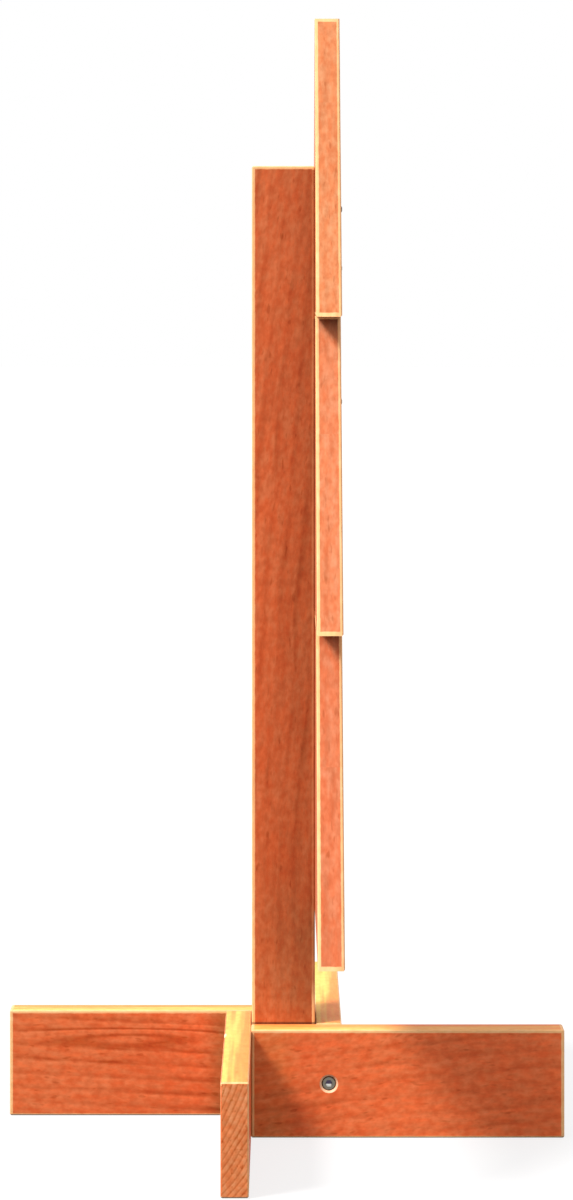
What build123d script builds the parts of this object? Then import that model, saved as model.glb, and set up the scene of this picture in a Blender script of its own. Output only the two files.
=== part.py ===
"""Free-standing wooden fir tree on a four-board cross foot, in millimetres.

A square post stands in the square socket of a pinwheel foot. Three flat tiers,
each glued up from upright staves, are screwed to one face of the post.
The ground is Z = 0, the post's axis is X = Y = 0, and the tiers are on its +X face.
"""
import os

from build123d import *

# Timber stock
BOARD_THICKNESS = 25.0
BOARD_HEIGHT = 102.0
POST_WIDTH = 60.0
EASED_EDGE = 1.2

# Cross foot
ARM_LENGTH = 296.0
SOCKET_CLEARANCE = 0.5

# Post and tiers
TREE_HEIGHT = 1061.0
TIER_HEIGHT = 284.3
POST_TOP_BELOW_TIP = 142.0
TIER_THICKNESS = 23.8
TIP_HALF_WIDTH = 9.5
TIER_FLARE = 149.5
TIER_STEP_BACK = 77.0
TIER_STAVE_COUNTS = {"top": 3, "middle": 5, "bottom": 7}

# Foot bolts: M8 socket cap screws, each drawn up against a cross dowel nut
BOLT_DIAMETER = 8.0
BOLT_LENGTH = 60.0
BOLT_HEAD_DIAMETER = 13.0
BOLT_HEAD_HEIGHT = 8.0
BOLT_HEAD_CHAMFER = 0.8
BOLT_HEAD_SUNK = 2.0
BOLT_KEY_SIZE = 6.0
BOLT_KEY_DEPTH = 4.0
BOLT_HOLE_CLEARANCE = 0.25
BOLT_HEAD_CLEARANCE = 0.4
BOLT_MOUTH_CHAMFER = 2.0
BOLT_END_GAP = 4.0
NUT_DIAMETER = 12.0
NUT_LENGTH = 18.0
NUT_CLEARANCE = 0.15
NUT_THREAD_CLEARANCE = 0.05
NUT_FROM_ARM_END = 36.0
NUT_SLOT_WIDTH = 1.6
NUT_SLOT_DEPTH = 1.5

# Tier screws: domed heads, through the tier into the post
SCREW_DIAMETER = 5.0
SCREW_LENGTH = 60.0
SCREW_POINT = 7.0
SCREW_HEAD_DIAMETER = 9.5
SCREW_HEAD_HEIGHT = 2.9
SCREW_KEY_SIZE = 3.0
SCREW_KEY_DEPTH = 1.6
SCREW_CLEARANCE = 0.1
TOP_SCREW_INSETS = (45.0, 40.5)
SCREW_INSETS = (83.0, 83.0)

# Sizes that follow
SOCKET_WIDTH = POST_WIDTH + 2 * SOCKET_CLEARANCE
POST_HEIGHT = TREE_HEIGHT - POST_TOP_BELOW_TIP
TIER_BACK = POST_WIDTH / 2
TIER_FRONT = TIER_BACK + TIER_THICKNESS
ARM_START = -SOCKET_WIDTH / 2
ARM_MIDDLE = -(SOCKET_WIDTH + BOARD_THICKNESS) / 2
ARM_OUTER_FACE = -(SOCKET_WIDTH / 2 + BOARD_THICKNESS)
BOLT_HEIGHT = BOARD_HEIGHT / 2
NUT_POCKET_DEPTH = (BOARD_THICKNESS + NUT_LENGTH) / 2
BOLT_SEAT_DEPTH = BOLT_HEAD_SUNK + BOLT_HEAD_HEIGHT
BOLT_REACH = BOLT_SEAT_DEPTH + BOLT_LENGTH - BOARD_THICKNESS + BOLT_END_GAP

# The foot is one arm repeated by quarter turns
ARM_TURNS = {"arm_front": 0, "arm_right": 90, "arm_back": 180, "arm_left": 270}


def turned(turn, origin, x_dir, z_dir):
    """Plane given beside the front arm, turned about the post to another arm."""
    quarter = Plane.XY.rotated((0, 0, turn))
    return Plane(quarter * Plane(origin=origin, x_dir=x_dir, z_dir=z_dir))


def bolt_plane(turn):
    """Outer face of an arm where its bolt enters, facing out.

    The bolt runs into the end of the next arm, so it stands on that arm's middle.
    """
    return turned(turn, (-ARM_MIDDLE, ARM_OUTER_FACE, BOLT_HEIGHT), (1, 0, 0), (0, -1, 0))


def arm_end_plane(turn):
    """Butted end of an arm, facing along its length."""
    return turned(turn, (ARM_START, ARM_MIDDLE, BOLT_HEIGHT), (0, 1, 0), (1, 0, 0))


def nut_plane(turn):
    """Inner face of an arm where its cross dowel nut enters, facing the post."""
    origin = (ARM_START + NUT_FROM_ARM_END, ARM_START, BOLT_HEIGHT)
    return turned(turn, origin, (1, 0, 0), (0, 1, 0))


def make_arm(name, turn):
    """One foot board on edge, with its bolt holes and the pocket for its nut."""
    start = arm_end_plane(turn)
    outer_face = bolt_plane(turn)
    outward = Axis(outer_face.origin, outer_face.z_dir)
    with BuildPart() as arm:
        with BuildSketch(start):
            Rectangle(BOARD_THICKNESS, BOARD_HEIGHT)
        extrude(amount=ARM_LENGTH)
        chamfer(arm.edges(), EASED_EDGE)
        with Locations(outer_face):
            CounterBoreHole(
                radius=BOLT_DIAMETER / 2 + BOLT_HOLE_CLEARANCE,
                counter_bore_radius=BOLT_HEAD_DIAMETER / 2 + BOLT_HEAD_CLEARANCE,
                counter_bore_depth=BOLT_SEAT_DEPTH,
                depth=BOARD_THICKNESS,
            )
        mouth = arm.edges().filter_by(GeomType.CIRCLE).sort_by(outward)[-1]
        chamfer(mouth, BOLT_MOUTH_CHAMFER)
        with BuildSketch(start):
            Circle(BOLT_DIAMETER / 2 + BOLT_HOLE_CLEARANCE)
        extrude(amount=BOLT_REACH, mode=Mode.SUBTRACT)
        with BuildSketch(nut_plane(turn)):
            Circle(NUT_DIAMETER / 2 + NUT_CLEARANCE)
        extrude(amount=-NUT_POCKET_DEPTH, mode=Mode.SUBTRACT)
    arm.part.label = name
    return arm.part


def make_arm_bolts():
    """Four socket cap screws, one through each arm into the end of the next."""
    with BuildPart(mode=Mode.PRIVATE) as bolt:
        with BuildSketch(Plane.XY.offset(-BOLT_SEAT_DEPTH)):
            Circle(BOLT_HEAD_DIAMETER / 2)
        extrude(amount=BOLT_HEAD_HEIGHT)
        chamfer(bolt.edges().sort_by(Axis.Z)[-1], BOLT_HEAD_CHAMFER)
        with BuildSketch(Plane.XY.offset(-BOLT_HEAD_SUNK)):
            RegularPolygon(BOLT_KEY_SIZE / 2, side_count=6, major_radius=False)
        extrude(amount=-BOLT_KEY_DEPTH, mode=Mode.SUBTRACT)
        with BuildSketch(Plane.XY.offset(-BOLT_SEAT_DEPTH)):
            Circle(BOLT_DIAMETER / 2)
        extrude(amount=-BOLT_LENGTH)
    with BuildPart() as arm_bolts:
        with Locations(*[bolt_plane(turn) for turn in ARM_TURNS.values()]):
            add(bolt.part)
    arm_bolts.part.label = "arm_bolts"
    return arm_bolts.part


def make_cross_dowel_nuts():
    """Four barrel nuts, one in each arm, that the bolts of the foot screw into."""
    with BuildPart(mode=Mode.PRIVATE) as nut:
        with BuildSketch(Plane.XY.offset(-NUT_POCKET_DEPTH)):
            Circle(NUT_DIAMETER / 2)
        extrude(amount=NUT_LENGTH)
        with BuildSketch(Plane.YZ.offset(-NUT_DIAMETER)):
            with Locations((0, -BOARD_THICKNESS / 2)):
                Circle(BOLT_DIAMETER / 2 + NUT_THREAD_CLEARANCE)
        extrude(amount=2 * NUT_DIAMETER, mode=Mode.SUBTRACT)
        with BuildSketch(Plane.XY.offset(NUT_LENGTH - NUT_POCKET_DEPTH)):
            Rectangle(2 * NUT_DIAMETER, NUT_SLOT_WIDTH)
        extrude(amount=-NUT_SLOT_DEPTH, mode=Mode.SUBTRACT)
    with BuildPart() as cross_dowel_nuts:
        with Locations(*[nut_plane(turn) for turn in ARM_TURNS.values()]):
            add(nut.part)
    cross_dowel_nuts.part.label = "cross_dowel_nuts"
    return cross_dowel_nuts.part


def tier_bottom(tier):
    """Height of a tier's lower edge; tier 0 is the top one."""
    return TREE_HEIGHT - TIER_HEIGHT * (tier + 1)


def tier_half_widths(tier):
    """Half widths of a tier at its upper and lower edges."""
    upper = TIP_HALF_WIDTH + tier * (TIER_FLARE - TIER_STEP_BACK)
    return upper, upper + TIER_FLARE


def screw_planes(tier):
    """Front face of a tier at its two screws, facing out."""
    low = tier_bottom(tier)
    high = min(low + TIER_HEIGHT, POST_HEIGHT)
    low_inset, high_inset = TOP_SCREW_INSETS if tier == 0 else SCREW_INSETS
    heights = (low + low_inset, high - high_inset)
    return [Plane(origin=(TIER_FRONT, 0, z), x_dir=(0, 1, 0), z_dir=(1, 0, 0)) for z in heights]


def all_screw_planes():
    """Planes of the screws of every tier."""
    return [plane for tier in range(len(TIER_STAVE_COUNTS)) for plane in screw_planes(tier)]


def make_tier_screws():
    """Six domed wood screws with hexagon sockets, two to a tier."""
    with BuildPart(mode=Mode.PRIVATE) as screw:
        with BuildSketch(Plane.XZ):
            with BuildLine():
                TangentArc((0, SCREW_HEAD_HEIGHT), (SCREW_HEAD_DIAMETER / 2, 0), tangent=(1, 0))
                Polyline(
                    (SCREW_HEAD_DIAMETER / 2, 0),
                    (SCREW_DIAMETER / 2, 0),
                    (SCREW_DIAMETER / 2, SCREW_POINT - SCREW_LENGTH),
                    (0, -SCREW_LENGTH),
                    (0, SCREW_HEAD_HEIGHT),
                )
            make_face()
        revolve(axis=Axis.Z)
        with BuildSketch(Plane.XY.offset(SCREW_HEAD_HEIGHT)):
            RegularPolygon(SCREW_KEY_SIZE / 2, side_count=6, major_radius=False)
        extrude(amount=-SCREW_KEY_DEPTH, mode=Mode.SUBTRACT)
    with BuildPart() as tier_screws:
        with Locations(*all_screw_planes()):
            add(screw.part)
    tier_screws.part.label = "tier_screws"
    return tier_screws.part


def make_post():
    """Square post from the ground up to behind the top tier."""
    with BuildPart() as post:
        with BuildSketch():
            Rectangle(POST_WIDTH, POST_WIDTH)
        extrude(amount=POST_HEIGHT)
        chamfer(post.edges(), EASED_EDGE)
        with Locations(*all_screw_planes()):
            Hole(SCREW_DIAMETER / 2 + SCREW_CLEARANCE, depth=SCREW_LENGTH + SCREW_CLEARANCE)
    post.part.label = "post"
    return post.part


def tier_panel(tier):
    """One tier before it is divided into staves: a trapezium, its leaning edges eased."""
    upper, lower = tier_half_widths(tier)
    low = tier_bottom(tier)
    high = low + TIER_HEIGHT
    with BuildPart(mode=Mode.PRIVATE) as panel:
        with BuildSketch(Plane.YZ.offset(TIER_BACK)):
            with BuildLine():
                Polyline((-lower, low), (lower, low), (upper, high), (-upper, high), close=True)
            make_face()
        extrude(amount=TIER_THICKNESS)
        leaning = panel.edges().filter_by(Plane.YZ).filter_by(lambda edge: edge.length > TIER_HEIGHT)
        chamfer(leaning, EASED_EDGE)
        with Locations(*screw_planes(tier)):
            Hole(SCREW_DIAMETER / 2 + SCREW_CLEARANCE, depth=TIER_THICKNESS)
    return panel.part


def make_stave(name, panel, tier, centre, width):
    """The upright strip of a tier's panel round one centre line."""
    with BuildPart() as stave:
        add(panel)
        with BuildSketch(Plane.YZ.offset(TIER_BACK)):
            with Locations((centre, tier_bottom(tier) + TIER_HEIGHT / 2)):
                Rectangle(width, TIER_HEIGHT)
        extrude(amount=TIER_THICKNESS, mode=Mode.INTERSECT)
    stave.part.label = name
    return stave.part


def make_tiers():
    """All staves of the three tiers, numbered from the -Y side."""
    staves = []
    for tier, (tier_name, count) in enumerate(TIER_STAVE_COUNTS.items()):
        panel = tier_panel(tier)
        width = 2 * tier_half_widths(tier)[1] / count
        for number in range(count):
            centre = (number - (count - 1) / 2) * width
            name = f"{tier_name}_tier_stave_{number + 1}"
            staves.append(make_stave(name, panel, tier, centre, width))
    return staves


def main():
    """Build every piece and write each to its own file."""
    os.makedirs("parts", exist_ok=True)
    pieces = [make_arm(name, turn) for name, turn in ARM_TURNS.items()]
    pieces += [make_arm_bolts(), make_cross_dowel_nuts(), make_post()]
    pieces += make_tiers()
    pieces.append(make_tier_screws())
    for piece in pieces:
        export_step(piece, f"parts/{piece.label}.step")


main()
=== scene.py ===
"""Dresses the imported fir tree: stained timber, steel fastenings, stage and camera.

All sizes are in metres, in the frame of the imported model: the ground is Z = 0, the
post stands on X = Y = 0, and the tiers lie on the post's +X face.
"""
import math

import bpy
from bpy.props import FloatProperty, FloatVectorProperty, PointerProperty
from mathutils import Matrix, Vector


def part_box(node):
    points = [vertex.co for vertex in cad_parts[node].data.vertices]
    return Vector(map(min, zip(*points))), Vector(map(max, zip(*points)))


bl_info = {
    "name": "Fir tree on a cross foot",
    "version": (1, 0, 0),
    "blender": (4, 5, 0),
    "location": "View3D > Sidebar > Fir Tree",
    "description": "Finishes for a free-standing wooden fir tree and the stage it stands on",
    "category": "Object",
}

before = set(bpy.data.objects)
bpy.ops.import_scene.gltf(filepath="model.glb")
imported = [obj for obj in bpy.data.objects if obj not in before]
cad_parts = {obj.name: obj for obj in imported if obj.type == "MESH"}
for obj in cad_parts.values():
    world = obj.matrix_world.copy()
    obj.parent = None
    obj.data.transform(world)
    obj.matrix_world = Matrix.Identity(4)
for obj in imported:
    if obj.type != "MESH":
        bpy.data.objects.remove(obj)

ARMS = ("arm_front", "arm_right", "arm_back", "arm_left")
TIERS = ("top", "middle", "bottom")

# Tones are factors that a colour is multiplied by, as red, green, blue and alpha.
WHITE = (1.0, 1.0, 1.0, 1.0)
LATE_WOOD_TONE = (0.62, 0.42, 0.17, 1.0)
EARLY_WOOD_TONE = (1.10, 1.16, 1.24, 1.0)
MOTTLE_TONES = ((0.90, 0.78, 0.66, 1.0), (1.10, 1.23, 1.38, 1.0))
HUE_TONES = ((1.03, 0.90, 0.78, 1.0), (0.97, 1.10, 1.22, 1.0))
# Painted shade on a wide face beside the board that butts there.
BUTTED_SHADE_TONE = (0.55, 0.80, 0.80, 1.0)
# Painted shade tint near a board's inner end, on the outer face where the butting board's shadow
# falls.
INNER_END_SHADE_TONE = (0.92, 1.20, 1.18, 1.0)
HONEY_TONES = ((0.96, 1.20, 1.06, 1.0), (0.95, 0.64, 0.57, 1.0))
# Painted shade on a foot board's narrow edges, where the tiers' shadow falls.
EDGE_SHADE_TONE = (0.97, 0.79, 0.72, 1.0)
# Painted light and shade across the post: lighter away from the tiers, darker beside them.
POST_LIGHT_AND_SHADE_TONES = ((1.12, 1.13, 1.16, 1.0), (0.72, 0.76, 0.72, 1.0))

# Colours of small places, linear.
# A small pale spot on one board's edge.
PALE_SPOT_COLOUR = (0.98, 0.76, 0.48, 1.0)
# Painted shade in a bolt's key socket.
SOCKET_SHADE_COLOUR = (0.075, 0.060, 0.100, 1.0)
# Painted highlight at the bottom of a bolt's key socket.
SOCKET_HIGHLIGHT_COLOUR = (0.88, 0.88, 0.84, 1.0)

# Painted shade: how much of its colour timber keeps where shade is painted along the ground, where
# the post enters the foot, and under a tier.
GROUND_CONTACT_SHADE = 0.42
FOOT_CONTACT_SHADE = 0.40
SHADE_UNDER_TIER = 0.28

# A point this near to a face lies on it.
ON_NARROW_FACE = 0.0003
ON_END_FACE = 0.0002
ON_BOLT_HEAD = 0.0002

# How an effect fades, in metres: the length of the fade, or the two distances that it
# lies between.
BUTTED_SHADE_FADE = 0.028
INNER_END_SHADE_FADE = (0.022, 0.052)
EDGE_SHADE_FADE = 0.040
MOUTH_FADE = 0.0002
GROUND_SHADE_FADE = (0.0009, 0.0014)
PALE_SPOT_FADE = (0.0014, 0.0024)
PALE_SPOT_RIM_FADE = (0.0025, 0.0060)
LOW_RUB_FADE = (0.015, 0.045)
TOP_RUB_FADE = (0.004, 0.003)
POST_RUB_FADE = (0.008, 0.004)
ABOVE_LINE_FADE = (0.0014, 0.0024)
BELOW_LINE_FADE = (-0.0020, 0.0)
STAVE_RUB_FADE = (0.004, 0.009)
SHADE_UNDER_TIER_FADE = (0.003, 0.030)

# How strongly the edges are rubbed: full is 1. Beside the tiers the post's pale band is weakened
# as painted shade.
BAND_IN_TIER_SHADE = 0.15
RUBBED_BELOW_TIERS = 0.80
RUBBED_TIER_FRONT = 0.72

# How a distance from a pair of a foot board's faces is stretched.
EVEN_REACH = (1.0, 1.0)
WIDE_FACE_REACH = (2.4, 2.4)
NARROW_EDGE_REACH = (1.7, 1.0)

# A place along the grain that lies beyond every board, so that no painted shade falls on its
# narrow edges.
NO_EDGE_SHADE = 1.0

# Noise cells per metre: along the grain, through the board and across it.
WANDER_CELLS = (5.0, 14.0, 14.0)
DASH_CELLS = (24.0, 75.0, 75.0)
STRETCH_CELLS = (8.0, 26.0, 26.0)
BAND_CELLS = (7.0, 85.0, 85.0)
SPECK_CELLS = (70.0, 230.0, 230.0)
FIBRE_CELLS = (90.0, 480.0, 480.0)
MOTTLE_CELLS = (120.0, 170.0, 170.0)
HUE_CELLS = (60.0, 150.0, 150.0)
PATCH_CELLS = (8.0, 18.0, 18.0)
STREAK_CELLS = (4.0, 110.0, 110.0)
RAGGED_CELLS = (160.0, 160.0, 160.0)
CLOUD_CELLS = (600.0, 600.0, 600.0)
SCRATCH_CELLS = (1800.0, 1800.0, 1800.0)

# One over an eye's half length and half width, in metres; its depth doesn't count.
EYE_SCALE = (6.8, 0.0, 75.0)

# Where in a growth ring, from 0 to 1, it turns dark, ends, and fades from its palest.
RING_DARKENS = (0.44, 0.80)
RING_ENDS = (0.82, 1.0)
RING_PALE_PART = (0.02, 0.40)

# How much each of these darkens the timber.
BAND_DARKNESS = 0.22
SPECK_DARKNESS = 0.50
FIBRE_DARKNESS = 0.14

# How strongly the figure shows in pale wood.
FAINT_FIGURE = 0.35

# Surfaces: shine of stained timber, and how a plated surface's roughness varies.
TIMBER_SPECULAR = 0.25
UNEVEN_GLOSS = (-0.06, 0.08)

# Key socket of a bolt, in units of the key's radius: where its rim fades out, how far
# the painted highlight at its bottom reaches sideways, and where its upper side lies.
SOCKET_RIM = 1.08
HIGHLIGHT_REACH = (0.75, 0.95)
HIGHLIGHT_TOP = (-0.50, -0.30)

# Bump nodes: depth in metres, and strength.
GRAIN_RELIEF = (0.0003, 0.22)
SCRATCH_RELIEF = (0.00005, 0.3)

# Stage.
FLOOR_REACH = 30.0
FLOOR_LEVEL = -0.0005
KEY_TRAVEL = (0.549, 0.302, -0.779)
CAMERA_SIDE = 0.001
CAMERA_SHIFT = (0.0017, -0.261)
CAMERA_CLIP_END = 100.0


# ---------------------------------------------------------------- settings

def colour(name, description, default):
    """A colour property, given as linear red, green and blue."""
    return FloatVectorProperty(
        name=name,
        description=description,
        subtype="COLOR",
        size=3,
        min=0.0,
        max=1.0,
        default=default,
    )


def length(name, description, default):
    """A length property, in metres."""
    return FloatProperty(
        name=name,
        description=description,
        default=default,
        min=0.0,
        precision=4,
        unit="LENGTH",
    )


class FIRTREE_PG_timber(bpy.types.PropertyGroup):
    """Colours and figure of the stained timber."""

    foot_stain: colour("Foot stain", "Wide faces of the foot boards", (0.86, 0.170, 0.047))
    post_stain: colour("Post stain", "Faces of the post", (0.57, 0.128, 0.036))
    tier_stain: colour("Tier stain", "Faces and cut sides of the tiers", (0.665, 0.193, 0.075))
    end_stain: colour("End grain", "Sawn ends of the boards", (0.77, 0.242, 0.084))
    edge_stain: colour("Narrow edges", "Narrow edges of the foot boards", (0.97, 0.47, 0.118))
    worn: colour("Worn edge", "Pale wood along the rubbed edges", (0.95, 0.525, 0.230))
    worn_width: length("Worn width", "Width of the rubbed band along each edge", 0.0032)
    ring_width: length("Ring width", "Width of one growth ring", 0.0120)
    end_ring_width: length("End ring width", "Ring width on the sawn ends", 0.0047)
    eased_edge: length("Eased edge", "Small bevel along the edges", 0.0012)
    tier_flare: length("Tier flare", "How far a tier's side leans out over its height", 0.1495)
    mouth: colour("Bolt mouth", "Bare wood of the bevelled mouth round a bolt", (0.92, 0.52, 0.31))
    mouth_radius: length("Mouth radius", "Radius of the bevelled mouth round a bolt", 0.0088)


class FIRTREE_PG_steel(bpy.types.PropertyGroup):
    """Colours of the fastenings."""

    bolt: colour("Bolts", "Zinc plated bolts and nuts of the foot", (0.20, 0.185, 0.15))
    screw: colour("Screws", "Dark plated screws of the tiers", (0.08, 0.08, 0.085))
    key_radius: length("Key socket", "Radius of the bolts' key sockets at the corners", 0.0035)


class FIRTREE_PG_stage(bpy.types.PropertyGroup):
    """Floor, light and camera."""

    floor: colour("Floor", "Pale floor", (0.16, 0.16, 0.16))
    glow: FloatProperty(
        name="Floor glow",
        description="What the eye sees on the floor on top of its lit colour",
        default=0.80,
        min=0.0,
    )
    sky: FloatProperty(
        name="Sky",
        description="Strength of the sky's light",
        default=0.84,
        min=0.0,
    )
    sun: FloatProperty(
        name="Sun",
        description="Strength of the key light",
        default=4.1,
        min=0.0,
    )
    sun_softness: FloatProperty(
        name="Sun softness",
        description="Angle that the key light covers",
        default=math.radians(14.0),
        subtype="ANGLE",
    )
    distance: length("Camera distance", "From the post's axis to the camera", 3.214)
    height: length("Camera height", "Height of the camera above the ground", 0.804)
    lens: FloatProperty(name="Lens", description="Focal length in millimetres", default=100.3)


# ---------------------------------------------------------------- node helpers

def add_node(tree, kind, inputs=None, **settings):
    """Adds a node, sets its options, then links or sets each named input."""
    node = tree.nodes.new(kind)
    for name, value in settings.items():
        setattr(node, name, value)
    for name, value in (inputs or {}).items():
        if isinstance(value, bpy.types.NodeSocket):
            tree.links.new(value, node.inputs[name])
        else:
            node.inputs[name].default_value = value
    return node


def maths(tree, operation, *values, clamp=False):
    """Output of a Math node."""
    inputs = dict(enumerate(values))
    node = add_node(tree, "ShaderNodeMath", inputs, operation=operation, use_clamp=clamp)
    return node.outputs[0]


def separate(tree, vector):
    """The three outputs of a Separate XYZ node, by the names X, Y and Z."""
    return add_node(tree, "ShaderNodeSeparateXYZ", {"Vector": vector}).outputs


def combine(tree, x=0.0, y=0.0, z=0.0):
    """Output of a Combine XYZ node."""
    inputs = {"X": x, "Y": y, "Z": z}
    return add_node(tree, "ShaderNodeCombineXYZ", inputs).outputs["Vector"]


def object_coordinates(tree):
    """Where a point lies in the frame."""
    return add_node(tree, "ShaderNodeTexCoord").outputs["Object"]


def vector_maths(tree, operation, *values, output=0):
    """Output of a Vector Math node."""
    inputs = dict(enumerate(values))
    return add_node(tree, "ShaderNodeVectorMath", inputs, operation=operation).outputs[output]


def scaled(tree, vector, factor):
    """A vector or colour times a number."""
    node = add_node(tree, "ShaderNodeVectorMath", {0: vector, "Scale": factor}, operation="SCALE")
    return node.outputs["Vector"]


def distance_between(tree, first, second):
    """Distance between two points."""
    return vector_maths(tree, "DISTANCE", first, second, output="Value")


def length_of(tree, vector):
    """Length of a vector."""
    return vector_maths(tree, "LENGTH", vector, output="Value")


def ramp(tree, value, low, high, to_low=0.0, to_high=1.0):
    """value taken smoothly from low..high to to_low..to_high."""
    inputs = {
        "Value": value,
        "From Min": low,
        "From Max": high,
        "To Min": to_low,
        "To Max": to_high,
    }
    node = add_node(tree, "ShaderNodeMapRange", inputs, interpolation_type="SMOOTHSTEP")
    return node.outputs["Result"]


def blend(tree, factor, first, second):
    """Colour between first and second; 6, 7 and 2 are the Mix node's colour sockets."""
    inputs = {"Factor": factor, 6: first, 7: second}
    return add_node(tree, "ShaderNodeMix", inputs, data_type="RGBA").outputs[2]


def noise(tree, position, stretch, detail=2.0, roughness=0.5):
    """Noise on a position stretched by a number of cells per metre on each axis."""
    stretched = vector_maths(tree, "MULTIPLY", position, stretch)
    inputs = {"Vector": stretched, "Scale": 1.0, "Detail": detail, "Roughness": roughness}
    return add_node(tree, "ShaderNodeTexNoise", inputs).outputs["Fac"]


def new_group(name, inputs, outputs):
    """An empty node group with named sockets; each is (name, socket type, default)."""
    group = bpy.data.node_groups.new(name, "ShaderNodeTree")
    for socket_name, kind, default in inputs:
        socket = group.interface.new_socket(socket_name, in_out="INPUT", socket_type=kind)
        if default is not None:
            socket.default_value = default
    for socket_name, kind in outputs:
        group.interface.new_socket(socket_name, in_out="OUTPUT", socket_type=kind)
    entry = group.nodes.new("NodeGroupInput")
    exit_node = group.nodes.new("NodeGroupOutput")
    return group, entry.outputs, exit_node.inputs


def opaque(rgb):
    """A colour property as the four numbers a socket takes."""
    return (rgb[0], rgb[1], rgb[2], 1.0)


# ---------------------------------------------------------------- shared effects

def stained_timber_group():
    """Figure of stained softwood on a board.

    Position is measured from the board's middle: X along the grain, Y through the
    thickness and Z across the width. Growth rings are tubes round the tree's heart,
    which lies at Heart. A ring's radius changes by Taper times X plus Bulge times X
    squared, so a Bulge closes the rings into long ovals on a face near the heart. The
    whole figure moves across the board by Lean times X plus Bow times X squared, and
    Wander bends the rings. Eye lift pushes them aside round the place Eye, which makes
    an oval of dark lines there. Evenness joins the dashes of each ring into one line.
    Figure is a colour round white that a stain is multiplied by.
    """
    group, given, out = new_group(
        "Stained timber",
        [
            ("Position", "NodeSocketVector", None),
            ("Heart", "NodeSocketVector", None),
            ("Seed", "NodeSocketFloat", 0.0),
            ("Ring width", "NodeSocketFloat", 0.006),
            ("Ring strength", "NodeSocketFloat", 0.5),
            ("Evenness", "NodeSocketFloat", 0.0),
            ("Taper", "NodeSocketFloat", 0.03),
            ("Bulge", "NodeSocketFloat", 0.0),
            ("Lean", "NodeSocketFloat", 0.0),
            ("Bow", "NodeSocketFloat", 0.0),
            ("Wander", "NodeSocketFloat", 0.03),
            ("Eye", "NodeSocketVector", None),
            ("Eye lift", "NodeSocketFloat", 0.0),
        ],
        [
            ("Figure", "NodeSocketColor"),
            ("Roughness", "NodeSocketFloat"),
            ("Height", "NodeSocketFloat"),
        ],
    )
    split = separate(group, given["Position"])
    slope = maths(group, "MULTIPLY_ADD", split["X"], given["Bow"], given["Lean"])
    slanted = maths(group, "MULTIPLY_ADD", split["X"], slope, split["Z"])
    position = combine(group, split["X"], split["Y"], slanted)
    placed = vector_maths(group, "ADD", position, scaled(group, (1.7, 2.9, 4.3), given["Seed"]))

    across = vector_maths(group, "MULTIPLY", position, (0.0, 1.0, 1.0))
    radius = distance_between(group, across, given["Heart"])
    wander = noise(group, placed, WANDER_CELLS)
    bent = maths(group, "MULTIPLY_ADD", wander, given["Wander"], radius)
    growth = maths(group, "MULTIPLY_ADD", split["X"], given["Bulge"], given["Taper"])
    bent = maths(group, "MULTIPLY_ADD", split["X"], growth, bent)
    from_eye = vector_maths(group, "SUBTRACT", given["Position"], given["Eye"])
    from_eye = length_of(group, vector_maths(group, "MULTIPLY", from_eye, EYE_SCALE))
    in_eye = ramp(group, from_eye, 0.0, 1.0, 1.0, 0.0)
    bent = maths(group, "MULTIPLY_ADD", in_eye, given["Eye lift"], bent)
    rings = maths(group, "FRACT", maths(group, "DIVIDE", bent, given["Ring width"]))
    darkens = ramp(group, rings, *RING_DARKENS)
    late_wood = maths(group, "MULTIPLY", darkens, ramp(group, rings, *RING_ENDS, 1.0, 0.0))
    early_wood = ramp(group, rings, *RING_PALE_PART, 1.0, 0.0)
    dashes = ramp(group, noise(group, placed, DASH_CELLS), 0.38, 0.62)
    stretches = noise(group, placed, STRETCH_CELLS, detail=1.0)
    stretches = ramp(group, stretches, 0.30, 0.66, 0.25, 1.0)
    broken = maths(group, "MULTIPLY", maths(group, "MULTIPLY_ADD", dashes, 0.75, 0.25), stretches)
    has_eye = maths(group, "GREATER_THAN", given["Eye lift"], 0.0)
    by_eye = maths(group, "MULTIPLY", ramp(group, from_eye, 0.70, 1.20, 0.85, 0.0), has_eye)
    broken = maths(group, "MAXIMUM", broken, maths(group, "MAXIMUM", by_eye, given["Evenness"]))
    strength = maths(group, "MULTIPLY", broken, given["Ring strength"])
    late_wood = maths(group, "MULTIPLY", late_wood, strength)
    early_wood = maths(group, "MULTIPLY", early_wood, strength)

    bands = ramp(group, noise(group, placed, BAND_CELLS), 0.42, 0.75)
    specks = ramp(group, noise(group, placed, SPECK_CELLS, detail=1.0), 0.64, 0.76)
    fibre = noise(group, placed, FIBRE_CELLS, roughness=0.6)
    fibres = ramp(group, fibre, 0.35, 0.75)
    mottle = noise(group, placed, MOTTLE_CELLS, roughness=0.55)
    hue = noise(group, placed, HUE_CELLS, roughness=0.6)
    patches = noise(group, placed, PATCH_CELLS)

    dark = maths(group, "MULTIPLY_ADD", bands, BAND_DARKNESS, late_wood)
    dark = maths(group, "MULTIPLY_ADD", specks, SPECK_DARKNESS, dark)
    dark = maths(group, "MULTIPLY_ADD", fibres, FIBRE_DARKNESS, dark, clamp=True)
    body = blend(group, dark, WHITE, LATE_WOOD_TONE)
    light = blend(group, early_wood, WHITE, EARLY_WOOD_TONE)
    tone = maths(group, "MULTIPLY", mottle, ramp(group, patches, 0.25, 0.75, 0.86, 1.14))
    tint = blend(group, ramp(group, tone, 0.24, 0.76), *MOTTLE_TONES)
    warmth = blend(group, ramp(group, hue, 0.28, 0.72), *HUE_TONES)
    body = vector_maths(group, "MULTIPLY", body, light)
    tint = vector_maths(group, "MULTIPLY", tint, warmth)
    group.links.new(vector_maths(group, "MULTIPLY", body, tint), out["Figure"])

    sheen = maths(group, "MULTIPLY_ADD", fibre, 0.18, 0.42)
    group.links.new(sheen, out["Roughness"])
    height = maths(group, "MULTIPLY_ADD", late_wood, 0.15, fibre)
    group.links.new(height, out["Height"])
    return group


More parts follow.
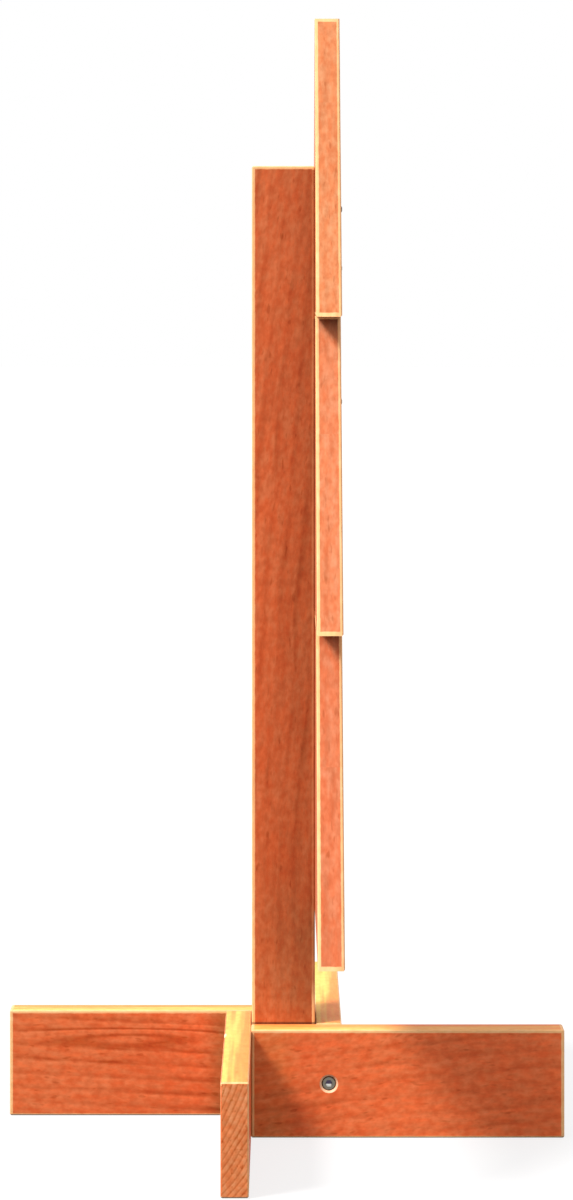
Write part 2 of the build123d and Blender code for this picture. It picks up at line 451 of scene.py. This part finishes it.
def worn_edge_group():
    """Mask of the rubbed bands along a board's edges.

    A point on the surface has a distance to each pair of faces. The smallest is to
    the face that it lies on; where the middle one of the three is under Width, the
    point is by an edge. The line is broken a little by noise.
    """
    group, given, out = new_group(
        "Worn edges",
        [
            ("Position", "NodeSocketVector", None),
            ("To faces", "NodeSocketVector", None),
            ("Width", "NodeSocketFloat", 0.003),
        ],
        [("Mask", "NodeSocketFloat")],
    )
    split = separate(group, given["To faces"])
    lower = maths(group, "MINIMUM", split["X"], split["Y"])
    upper = maths(group, "MAXIMUM", split["X"], split["Y"])
    middle = maths(group, "MAXIMUM", lower, maths(group, "MINIMUM", upper, split["Z"]))
    ragged = noise(group, given["Position"], RAGGED_CELLS, detail=3.0)
    ragged = maths(group, "MULTIPLY_ADD", ragged, 0.0010, -0.0005)
    reach = maths(group, "ADD", middle, ragged)
    inner = maths(group, "MULTIPLY", given["Width"], 0.85)
    inputs = {
        "Value": reach,
        "From Min": inner,
        "From Max": given["Width"],
        "To Min": 1.0,
        "To Max": 0.0,
    }
    mask = add_node(group, "ShaderNodeMapRange", inputs)
    group.links.new(mask.outputs["Result"], out["Mask"])
    return group


def shared_group(name, build):
    """The group of that name, built the first time it is asked for."""
    return bpy.data.node_groups.get(name) or build()


# ---------------------------------------------------------------- materials

def new_material(name):
    """A material with only a Principled BSDF, and that shader's node."""
    material = bpy.data.materials.new(name)
    material.use_nodes = True
    tree = material.node_tree
    return material, tree, tree.nodes["Principled BSDF"]


def board_position(tree, centre, grain):
    """Position from a board's middle, with the axes in the order grain, thickness, width."""
    local = vector_maths(tree, "SUBTRACT", object_coordinates(tree), tuple(centre))
    split = separate(tree, local)
    return combine(tree, *[split[axis] for axis in grain])


def stained(tree, figure_colour, stain, strength=1.0):
    """A stain with the timber's figure in it, weakened where strength is under 1."""
    if strength < 1.0:
        figure_colour = blend(tree, strength, WHITE, figure_colour)
    return vector_maths(tree, "MULTIPLY", figure_colour, tuple(stain))


def add_relief(tree, shader, height, distance, strength):
    """Gives the shader a Bump node's normal."""
    inputs = {"Height": height, "Distance": distance, "Strength": strength}
    bump = add_node(tree, "ShaderNodeBump", inputs)
    tree.links.new(bump.outputs["Normal"], shader.inputs["Normal"])


def finish_timber(tree, shader, timber, worn, base, contact_shade=None):
    """Joins the figure, the worn edges and the surface relief to the shader.

    The last argument is 1 where no shade is painted, and less where painted contact shade darkens
    the timber.
    """
    pale = stained(tree, timber["Figure"], bpy.context.scene.fir_timber.worn, FAINT_FIGURE)
    surface = blend(tree, worn, base, pale)
    if contact_shade is not None:
        surface = vector_maths(tree, "MULTIPLY", surface, contact_shade)
    tree.links.new(surface, shader.inputs["Base Color"])
    tree.links.new(timber["Roughness"], shader.inputs["Roughness"])
    shader.inputs["Specular IOR Level"].default_value = TIMBER_SPECULAR
    add_relief(tree, shader, timber["Height"], *GRAIN_RELIEF)


def timber_node(tree, position, board_figure):
    """The stained timber group in a material, with the values of a board's figure."""
    timber = add_node(
        tree, "ShaderNodeGroup", node_tree=shared_group("Stained timber", stained_timber_group)
    )
    tree.links.new(position, timber.inputs["Position"])
    for name, value in board_figure.items():
        timber.inputs[name].default_value = value
    return timber.outputs


def figure(seed, heart, strength=0.5, ring_width=None, **others):
    """One board's own figure: its seed, where the tree's heart lies, and its rings.

    others names more inputs of the timber group, in lower case, with _ for a space.
    """
    values = {
        "Seed": seed,
        "Heart": (0.0, *heart),
        "Ring strength": strength,
        "Ring width": ring_width or bpy.context.scene.fir_timber.ring_width,
    }
    values.update({name.capitalize().replace("_", " "): value for name, value in others.items()})
    return values


def end_figure(seed, heart):
    """Figure of a sawn end: narrow unbroken rings."""
    ring_width = bpy.context.scene.fir_timber.end_ring_width
    return figure(seed, heart, 0.75, ring_width, evenness=0.7, taper=0.0, wander=0.008)


def worn_mask(tree, position, to_faces):
    """The worn edge group in a material, with its values."""
    worn = add_node(tree, "ShaderNodeGroup", node_tree=shared_group("Worn edges", worn_edge_group))
    tree.links.new(position, worn.inputs["Position"])
    tree.links.new(to_faces, worn.inputs["To faces"])
    worn.inputs["Width"].default_value = bpy.context.scene.fir_timber.worn_width
    return worn.outputs["Mask"]


def band_distances(tree, position, half, reach):
    """Distances from a point to a board's six faces, the nearer of each pair.

    reach holds six factors, for the faces at low and high X, Y and Z. A factor over 1
    stretches the distance from that face, which narrows the rubbed band beside it.
    """
    split = separate(tree, position)
    nearest = []
    for axis, extent, (low, high) in zip("XYZ", half, reach):
        to_low = maths(tree, "MULTIPLY", maths(tree, "ADD", extent, split[axis]), low)
        to_high = maths(tree, "MULTIPLY", maths(tree, "SUBTRACT", extent, split[axis]), high)
        nearest.append(maths(tree, "MINIMUM", to_low, to_high))
    return combine(tree, *nearest)


def board_place(node, grain):
    """Centre of a node's box, and half its size along, through and across the grain."""
    low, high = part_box(node)
    reach = (high - low) / 2
    return (low + high) / 2, [reach["XYZ".index(axis)] for axis in grain]


def wide_face_stain(tree, timber, place, board, next_middle, tone):
    """Stain of a foot board's wide faces.

    It has painted shade, darker and browner, on the inner face beside the board that
    butts there, and a painted shade tint, yellower, on the outer face towards the
    board's own inner end, where the butting board's shadow falls.
    """
    centre, half, grain = board
    along, through = ["XYZ".index(axis) for axis in grain[:2]]
    inwards = -1.0 if centre[through] > 0 else 1.0
    outwards = 1.0 if centre[along] > 0 else -1.0
    outer = maths(tree, "LESS_THAN", maths(tree, "MULTIPLY", place["Y"], inwards), 0.0)
    from_joint = maths(tree, "ABSOLUTE", maths(tree, "SUBTRACT", place["X"], next_middle))
    # Painted shade on the inner face beside the butting board.
    shade_by_joint = ramp(tree, from_joint, half[1], half[1] + BUTTED_SHADE_FADE, 1.0, 0.0)
    from_end = maths(tree, "MULTIPLY_ADD", place["X"], outwards, half[0])
    # Painted shade tint on the outer face near the board's inner end.
    shade_by_end = ramp(tree, from_end, *INNER_END_SHADE_FADE, 1.0, 0.0)
    inner_shade = blend(tree, shade_by_joint, WHITE, BUTTED_SHADE_TONE)
    outer_shade = blend(tree, shade_by_end, WHITE, INNER_END_SHADE_TONE)
    stain = [part * factor for part, factor in zip(bpy.context.scene.fir_timber.foot_stain, tone)]
    wide = stained(tree, timber["Figure"], stain)
    return vector_maths(tree, "MULTIPLY", wide, blend(tree, outer, inner_shade, outer_shade))


def narrow_edge_stain(tree, timber, position, place, edge_shade_start):
    """Golden stain of a foot board's narrow edges, with yellow and brown streaks."""
    edge_stain = bpy.context.scene.fir_timber.edge_stain
    golden = stained(tree, timber["Figure"], edge_stain, FAINT_FIGURE)
    streaks = noise(tree, position, STREAK_CELLS)
    streaks = maths(tree, "ADD", streaks, maths(tree, "MULTIPLY", place["Y"], 9.0))
    honey = blend(tree, ramp(tree, streaks, 0.44, 0.64), *HONEY_TONES)
    # Painted shade: the narrow edges turn browner from the given place along the grain, where the
    # tiers' shadow falls.
    edge_shade_tint = blend(tree, ramp(tree, place["X"], edge_shade_start, edge_shade_start + EDGE_SHADE_FADE), WHITE, EDGE_SHADE_TONE)
    return vector_maths(tree, "MULTIPLY", vector_maths(tree, "MULTIPLY", golden, honey), edge_shade_tint)


def foot_board_material(node, next_node, grain, figures, tone, sides, edge_shade_start, pale_spot):
    """Stained timber for a foot board.

    It has end grain on its ends, golden narrow edges, and bare wood round the bolt,
    which stands on the middle of the next board. sides holds the reach factors of its
    two wide faces. The next argument is the place along the grain from where painted
    shade makes the narrow edges browner, and the last one is the place of a small pale
    spot on an edge, or None. The lowest edge has painted contact shade where it meets
    the ground.
    """
    timber_set = bpy.context.scene.fir_timber
    centre, half = board_place(node, grain)
    along = "XYZ".index(grain[0])
    next_middle = board_place(next_node, grain)[0][along] - centre[along]
    material, tree, shader = new_material(f"Stained {node}")
    position = board_position(tree, centre, grain)
    reach = (EVEN_REACH, sides, NARROW_EDGE_REACH)
    to_faces = band_distances(tree, position, half, reach)
    timber, ends = [timber_node(tree, position, each) for each in figures]
    worn = worn_mask(tree, position, to_faces)

    place = separate(tree, position)
    distances = separate(tree, to_faces)
    at_edge = maths(tree, "LESS_THAN", distances["Z"], ON_NARROW_FACE)
    at_end = maths(tree, "LESS_THAN", distances["X"], ON_END_FACE)
    wide = wide_face_stain(tree, timber, place, (centre, half, grain), next_middle, tone)
    golden = narrow_edge_stain(tree, timber, position, place, edge_shade_start)
    base = blend(tree, at_edge, wide, golden)
    base = blend(tree, at_end, base, stained(tree, ends["Figure"], timber_set.end_stain))
    worn = maths(tree, "MULTIPLY", worn, maths(tree, "SUBTRACT", 1.0, at_end))

    flat = vector_maths(tree, "MULTIPLY", position, (1.0, 0.0, 1.0))
    from_bolt = distance_between(tree, flat, (next_middle, 0.0, 0.0))
    radius = timber_set.mouth_radius
    bare = ramp(tree, from_bolt, radius - MOUTH_FADE, radius, 1.0, 0.0)
    base = blend(tree, bare, base, opaque(timber_set.mouth))
    # A small pale spot on the edge of one board, with no worn band round it.
    if pale_spot:
        offset = vector_maths(tree, "SUBTRACT", position, pale_spot)
        drawn_out = vector_maths(tree, "MULTIPLY", offset, (0.25, 1.0, 1.0))
        away = length_of(tree, drawn_out)
        on_pale_spot = ramp(tree, away, *PALE_SPOT_FADE, 1.0, 0.0)
        base = blend(tree, on_pale_spot, base, PALE_SPOT_COLOUR)
        worn = maths(tree, "MULTIPLY", worn, ramp(tree, away, *PALE_SPOT_RIM_FADE))
    # Painted contact shade along the lowest edge, where the board meets the ground.
    above_ground = maths(tree, "ADD", place["Z"], half[2])
    contact_shade = ramp(tree, above_ground, *GROUND_SHADE_FADE, GROUND_CONTACT_SHADE, 1.0)
    finish_timber(tree, shader, timber, worn, base, contact_shade)
    return material


def post_material(board_figure):
    """Stained timber for the post.

    It has painted shade towards the tiers, where it is darker, and painted light on
    its other side; beside the tiers its pale edge bands are weakened as painted shade.
    A thin painted shadow line marks how deep it stands in the foot.
    """
    timber_set = bpy.context.scene.fir_timber
    centre, half = board_place("post", "ZYX")
    material, tree, shader = new_material("Stained post")
    position = board_position(tree, centre, "ZYX")
    to_faces = band_distances(tree, position, half, (EVEN_REACH, EVEN_REACH, EVEN_REACH))
    timber = timber_node(tree, position, board_figure)
    split = separate(tree, position)
    foot_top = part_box(ARMS[0])[1][2] - centre[2]
    above_foot = maths(tree, "SUBTRACT", split["X"], foot_top)
    # Painted shade: the pale band on the post's side by the tiers is weakened, except low down and
    # at the top.
    low_down = ramp(tree, above_foot, *LOW_RUB_FADE, RUBBED_BELOW_TIERS, BAND_IN_TIER_SHADE)
    at_top = ramp(tree, split["X"], *[half[0] - each for each in TOP_RUB_FADE])
    by_tiers = maths(tree, "MAXIMUM", low_down, at_top)
    rubbed = ramp(tree, split["Z"], *[half[2] - each for each in POST_RUB_FADE], 1.0, by_tiers)
    worn = maths(tree, "MULTIPLY", worn_mask(tree, position, to_faces), rubbed)
    # Painted light and shade: lighter on the side away from the tiers, darker beside them.
    across = maths(tree, "MULTIPLY_ADD", split["X"], -0.03, split["Z"])
    toward_tiers = ramp(tree, across, -half[2], half[2])
    depth = blend(tree, toward_tiers, *POST_LIGHT_AND_SHADE_TONES)
    base = stained(tree, timber["Figure"], timber_set.post_stain)
    base = vector_maths(tree, "MULTIPLY", base, depth)
    # Painted shade: a thin dark line where the post enters the foot.
    contact_shade = maths(
        tree,
        "MAXIMUM",
        ramp(tree, above_foot, *ABOVE_LINE_FADE, FOOT_CONTACT_SHADE, 1.0),
        ramp(tree, above_foot, *BELOW_LINE_FADE, 1.0, FOOT_CONTACT_SHADE),
    )
    finish_timber(tree, shader, timber, worn, base, contact_shade)
    return material


def staves_of(tier):
    """Names of a tier's staves, in order."""
    return sorted(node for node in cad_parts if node.startswith(f"{tier}_tier_stave"))


def tier_box(tier):
    """Lowest and highest corner of a whole tier."""
    boxes = [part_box(node) for node in staves_of(tier)]
    low = [min(box[0][axis] for box in boxes) for axis in range(3)]
    high = [max(box[1][axis] for box in boxes) for axis in range(3)]
    return low, high


def stave_material(node, tier, board_figure, tint):
    """Stained timber for one upright stave of a tier.

    The figure follows the grain upwards on the faces, and the leaning line on the
    cut sides. The rubbed bands follow the outline of the whole tier. Where there is a
    tier above, painted shade darkens the stave's top under it.
    """
    timber_set = bpy.context.scene.fir_timber
    low, high = tier_box(tier)
    slope = timber_set.tier_flare / (high[2] - low[2])
    lean = math.atan(slope)
    centre, _ = board_place(node, "ZXY")
    material, tree, shader = new_material(f"Stained {node}")

    coordinates = object_coordinates(tree)
    split = separate(tree, coordinates)
    above = maths(tree, "SUBTRACT", split["Z"], low[2])
    below = maths(tree, "SUBTRACT", high[2], split["Z"])
    end = maths(tree, "MINIMUM", maths(tree, "MULTIPLY", above, 0.8), below)
    back = maths(tree, "SUBTRACT", split["X"], low[0])
    front = maths(tree, "SUBTRACT", high[0], split["X"])
    face = maths(tree, "MINIMUM", back, front)
    side = maths(tree, "MULTIPLY_ADD", above, -slope, high[1])
    side = maths(tree, "SUBTRACT", side, maths(tree, "ABSOLUTE", split["Y"]))
    side = maths(tree, "MULTIPLY", side, math.cos(lean))
    to_faces = combine(tree, end, face, side)

    cut_side = maths(tree, "LESS_THAN", side, timber_set.eased_edge)
    hand = maths(tree, "MULTIPLY", maths(tree, "SIGN", split["Y"]), slope)
    shear = maths(tree, "MULTIPLY", maths(tree, "MULTIPLY", hand, above), cut_side)
    position = combine(
        tree,
        maths(tree, "SUBTRACT", split["Z"], centre[2]),
        maths(tree, "SUBTRACT", split["X"], centre[0]),
        maths(tree, "ADD", maths(tree, "SUBTRACT", split["Y"], centre[1]), shear),
    )
    stain = [part * factor for part, factor in zip(timber_set.tier_stain, tint)]
    timber = timber_node(tree, position, board_figure)
    rubbed = ramp(tree, front, *STAVE_RUB_FADE, RUBBED_TIER_FRONT, 1.0)
    worn = maths(tree, "MULTIPLY", worn_mask(tree, coordinates, to_faces), rubbed)
    base = stained(tree, timber["Figure"], stain)
    # Painted shade under the tier above, darkest at the top towards the front.
    if tier != TIERS[0]:
        from_top = maths(tree, "MULTIPLY_ADD", front, 0.5, below)
        under_tier_shade = ramp(tree, from_top, *SHADE_UNDER_TIER_FADE, SHADE_UNDER_TIER, 1.0)
        base = vector_maths(tree, "MULTIPLY", base, under_tier_shade)
    finish_timber(tree, shader, timber, worn, base)
    return material


def finish_steel(tree, shader, position, base, roughness):
    """Joins a plated colour, uneven gloss and fine scratches to the shader."""
    cloud = noise(tree, position, CLOUD_CELLS, detail=3.0)
    shade = scaled(tree, base, ramp(tree, cloud, 0.2, 0.8, 0.8, 1.15))
    tree.links.new(shade, shader.inputs["Base Color"])
    gloss = ramp(tree, cloud, 0.3, 0.7, *[roughness + each for each in UNEVEN_GLOSS])
    tree.links.new(gloss, shader.inputs["Roughness"])
    shader.inputs["Metallic"].default_value = 1.0
    scratches = noise(tree, position, SCRATCH_CELLS, detail=1.0)
    add_relief(tree, shader, scratches, *SCRATCH_RELIEF)


def steel_material(name, tint, roughness):
    """Plated steel of one colour."""
    material, tree, shader = new_material(name)
    finish_steel(tree, shader, object_coordinates(tree), tuple(tint), roughness)
    return material


def bolt_material(tint, roughness):
    """Plated steel whose key sockets have painted shade, with a painted highlight at their bottom.

    A bolt's axis is as far from X = 0 or Y = 0 as the middle of a board, and its
    socket lies inside the key's radius round that axis.
    """
    key = bpy.context.scene.fir_steel.key_radius
    low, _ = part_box("arm_bolts")
    board_middle, _ = board_place("arm_right", "XYZ")
    material, tree, shader = new_material("Zinc plated bolts")
    position = object_coordinates(tree)
    split = separate(tree, vector_maths(tree, "ABSOLUTE", position))
    outwards = maths(tree, "MAXIMUM", split["X"], split["Y"])
    sideways = maths(tree, "MINIMUM", split["X"], split["Y"])
    sideways = maths(tree, "SUBTRACT", sideways, board_middle[0])
    upwards = maths(tree, "SUBTRACT", split["Z"], board_middle[2])
    from_axis = length_of(tree, combine(tree, x=sideways, z=upwards))
    in_socket = ramp(tree, from_axis, key, key * SOCKET_RIM, 1.0, 0.0)
    sunk = maths(tree, "LESS_THAN", outwards, -low[0] - ON_BOLT_HEAD)
    in_socket = maths(tree, "MULTIPLY", in_socket, sunk)
    # Painted shade in the key sockets.
    base = blend(tree, in_socket, opaque(tint), SOCKET_SHADE_COLOUR)
    # Painted highlight at the bottom of each key socket.
    aside = maths(tree, "ABSOLUTE", sideways)
    across = ramp(tree, aside, *[key * each for each in HIGHLIGHT_REACH], 1.0, 0.0)
    bottom = ramp(tree, upwards, *[key * each for each in HIGHLIGHT_TOP], 1.0, 0.0)
    painted_highlight = maths(tree, "MULTIPLY", maths(tree, "MULTIPLY", across, bottom), in_socket)
    base = blend(tree, painted_highlight, base, SOCKET_HIGHLIGHT_COLOUR)
    finish_steel(tree, shader, position, base, roughness)
    return material


def dress(node, material):
    """Gives a CAD node one material."""
    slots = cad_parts[node].data.materials
    slots.clear()
    slots.append(material)


# ---------------------------------------------------------------- operators

class FIRTREE_OT_foot_boards(bpy.types.Operator):
    """Stain the four foot boards, each with its own figure"""

    bl_idname = "fir_tree.foot_boards"
    bl_label = "Foot Boards"

    def execute(self, context):
        faces = {
            "arm_front": figure(
                1.0, (0.0, 0.20), 0.45, 0.0165, taper=0.0, lean=-0.078, bow=0.208, wander=0.03
            ),
            "arm_right": figure(2.0, (0.03, -0.060), taper=0.02, wander=0.03),
            "arm_back": figure(
                3.0,
                (0.0, 0.1990),
                0.95,
                0.0137,
                evenness=0.25,
                taper=0.0,
                lean=0.045,
                wander=0.003,
                eye=(-0.014, 0.0, 0.0258),
                eye_lift=0.0143,
            ),
            "arm_left": figure(4.0, (0.04, 0.03), taper=-0.02, wander=0.03),
        }
        ends = {
            "arm_front": end_figure(5.0, (0.10, 0.17)),
            "arm_right": end_figure(6.0, (-0.05, -0.14)),
            "arm_back": end_figure(7.0, (0.08, 0.06)),
            "arm_left": end_figure(4.0, (-0.202, 0.118)),
        }
        tones = {
            "arm_front": (1.0, 1.0, 1.0),
            "arm_right": (1.0, 0.95, 1.0),
            "arm_back": (0.88, 0.96, 0.98),
            "arm_left": (0.96, 1.0, 1.05),
        }
        marks = {
            "arm_front": (WIDE_FACE_REACH, -0.030, None),
            "arm_left": ((16.0, 2.4), NO_EDGE_SHADE, (0.040, -0.0122, 0.0508)),
        }
        unmarked = (WIDE_FACE_REACH, NO_EDGE_SHADE, None)
        for number, node in enumerate(ARMS):
            next_node = ARMS[(number + 1) % len(ARMS)]
            grain = "XYZ" if node in ("arm_front", "arm_back") else "YXZ"
            figures = (faces[node], ends[node])
            mark = marks.get(node, unmarked)
            material = foot_board_material(node, next_node, grain, figures, tones[node], *mark)
            dress(node, material)
        return {"FINISHED"}


class FIRTREE_OT_post(bpy.types.Operator):
    """Stain the post"""

    bl_idname = "fir_tree.post"
    bl_label = "Post"

    def execute(self, context):
        board_figure = figure(
            9.0, (0.02, 0.25), 0.50, 0.0165, taper=0.0, lean=-0.075, bow=-0.069, wander=0.03
        )
        dress("post", post_material(board_figure))
        return {"FINISHED"}


class FIRTREE_OT_tiers(bpy.types.Operator):
    """Stain every stave of the three tiers"""

    bl_idname = "fir_tree.tiers"
    bl_label = "Tiers"

    def execute(self, context):
        tints = {
            "top": (0.97, 1.09, 1.01),
            "middle": (1.0, 1.0, 1.0),
            "bottom": (0.97, 0.87, 0.86),
        }
        tones = (1.0, 1.0, 0.90, 1.07, 0.94, 1.05, 0.91)
        for tier in TIERS:
            for number, node in enumerate(staves_of(tier)):
                seed = 20.0 + 10.0 * TIERS.index(tier) + 1.3 * number
                heart = (0.05 * (-1) ** number, 0.012 * (number % 3 - 1))
                board_figure = figure(seed, heart, 0.3, wander=0.04)
                tint = [part * tones[number] for part in tints[tier]]
                dress(node, stave_material(node, tier, board_figure, tint))
        return {"FINISHED"}


class FIRTREE_OT_fastenings(bpy.types.Operator):
    """Plate the bolts, the nuts and the tier screws"""

    bl_idname = "fir_tree.fastenings"
    bl_label = "Fastenings"

    def execute(self, context):
        steel_set = context.scene.fir_steel
        dress("arm_bolts", bolt_material(steel_set.bolt, 0.34))
        dress("cross_dowel_nuts", steel_material("Zinc plated nuts", steel_set.bolt, 0.34))
        dress("tier_screws", steel_material("Dark plated steel", steel_set.screw, 0.40))
        return {"FINISHED"}


class FIRTREE_OT_stage(bpy.types.Operator):
    """Lay the floor and set the light and the camera"""

    bl_idname = "fir_tree.stage"
    bl_label = "Stage"

    def execute(self, context):
        scene = context.scene
        stage_set = scene.fir_stage
        lay_floor(stage_set)
        light_sky(scene, stage_set)
        light_key(scene, stage_set)
        set_camera(scene, stage_set)
        scene.view_settings.view_transform = "Standard"
        return {"FINISHED"}


# ---------------------------------------------------------------- stage

def seen_or_mirrored(tree):
    """1 for what the eye sees, straight or by reflection or through glass."""
    rays = add_node(tree, "ShaderNodeLightPath").outputs
    seen = maths(tree, "MAXIMUM", rays["Is Camera Ray"], rays["Is Glossy Ray"])
    return maths(tree, "MAXIMUM", seen, rays["Is Transmission Ray"])


def lay_floor(stage_set):
    """A wide pale floor just under the foot, a flat square at one level.

    It glows white to the eye and keeps shadows.
    """
    around = ((-1, -1), (1, -1), (1, 1), (-1, 1))
    corners = [(x * FLOOR_REACH, y * FLOOR_REACH, FLOOR_LEVEL) for x, y in around]
    mesh = bpy.data.meshes.new("floor")
    mesh.from_pydata(corners, [], [(0, 1, 2, 3)])
    floor = bpy.data.objects.new("floor", mesh)
    bpy.context.scene.collection.objects.link(floor)
    material, tree, shader = new_material("Pale floor")
    shader.inputs["Base Color"].default_value = opaque(stage_set.floor)
    shader.inputs["Roughness"].default_value = 0.9
    shader.inputs["Specular IOR Level"].default_value = 0.0
    strength = maths(tree, "MULTIPLY", seen_or_mirrored(tree), stage_set.glow)
    glow = add_node(tree, "ShaderNodeEmission", {"Strength": strength})
    lit = add_node(tree, "ShaderNodeAddShader", {0: shader.outputs[0], 1: glow.outputs[0]})
    tree.links.new(lit.outputs[0], tree.nodes["Material Output"].inputs["Surface"])
    mesh.materials.append(material)


def light_sky(scene, stage_set):
    """An even white sky, whose light is a little weaker than the white that is seen."""
    world = bpy.data.worlds.new("Studio sky")
    world.use_nodes = True
    tree = world.node_tree
    background = tree.nodes["Background"]
    background.inputs["Color"].default_value = (1.0, 1.0, 1.0, 1.0)
    seen = seen_or_mirrored(tree)
    strength = maths(tree, "MULTIPLY_ADD", seen, 1.0 - stage_set.sky, stage_set.sky)
    tree.links.new(strength, background.inputs["Strength"])
    scene.world = world


def light_key(scene, stage_set):
    """The soft key light comes down from the upper left, in front of the tree."""
    lamp = bpy.data.lights.new("key", "SUN")
    lamp.energy = stage_set.sun
    lamp.angle = stage_set.sun_softness
    key = bpy.data.objects.new("key", lamp)
    scene.collection.objects.link(key)
    key.rotation_euler = Vector(KEY_TRAVEL).to_track_quat("-Z", "Y").to_euler()


def set_camera(scene, stage_set):
    """A level camera in front of the post, looking along +Y, its frame shifted down."""
    data = bpy.data.cameras.new("camera")
    data.lens = stage_set.lens
    data.shift_x, data.shift_y = CAMERA_SHIFT
    data.clip_end = CAMERA_CLIP_END
    camera = bpy.data.objects.new("camera", data)
    camera.location = (CAMERA_SIDE, -stage_set.distance, stage_set.height)
    camera.rotation_euler = (math.pi / 2, 0.0, 0.0)
    scene.collection.objects.link(camera)
    scene.camera = camera


# ---------------------------------------------------------------- panel and registration

OPERATORS = (
    FIRTREE_OT_foot_boards,
    FIRTREE_OT_post,
    FIRTREE_OT_tiers,
    FIRTREE_OT_fastenings,
    FIRTREE_OT_stage,
)


class FIRTREE_PT_panel(bpy.types.Panel):
    """Lists the finishes of the fir tree"""

    bl_label = "Fir Tree"
    bl_idname = "FIRTREE_PT_panel"
    bl_space_type = "VIEW_3D"
    bl_region_type = "UI"
    bl_category = "Fir Tree"

    def draw(self, context):
        for operator in OPERATORS:
            self.layout.operator(operator.bl_idname)


SETTINGS = {
    "fir_timber": FIRTREE_PG_timber,
    "fir_steel": FIRTREE_PG_steel,
    "fir_stage": FIRTREE_PG_stage,
}


def register():
    """Registers the settings, the operators and the panel."""
    for name, group in SETTINGS.items():
        bpy.utils.register_class(group)
        setattr(bpy.types.Scene, name, PointerProperty(type=group))
    for operator in OPERATORS:
        bpy.utils.register_class(operator)
    bpy.utils.register_class(FIRTREE_PT_panel)


def unregister():
    """Takes back what register did."""
    bpy.utils.unregister_class(FIRTREE_PT_panel)
    for operator in reversed(OPERATORS):
        bpy.utils.unregister_class(operator)
    for name, group in SETTINGS.items():
        delattr(bpy.types.Scene, name)
        bpy.utils.unregister_class(group)


def main():
    """Dresses the whole tree."""
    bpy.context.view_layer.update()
    register()
    bpy.ops.fir_tree.foot_boards()
    bpy.ops.fir_tree.post()
    bpy.ops.fir_tree.tiers()
    bpy.ops.fir_tree.fastenings()
    bpy.ops.fir_tree.stage()


if __name__ == "__main__":
    main()
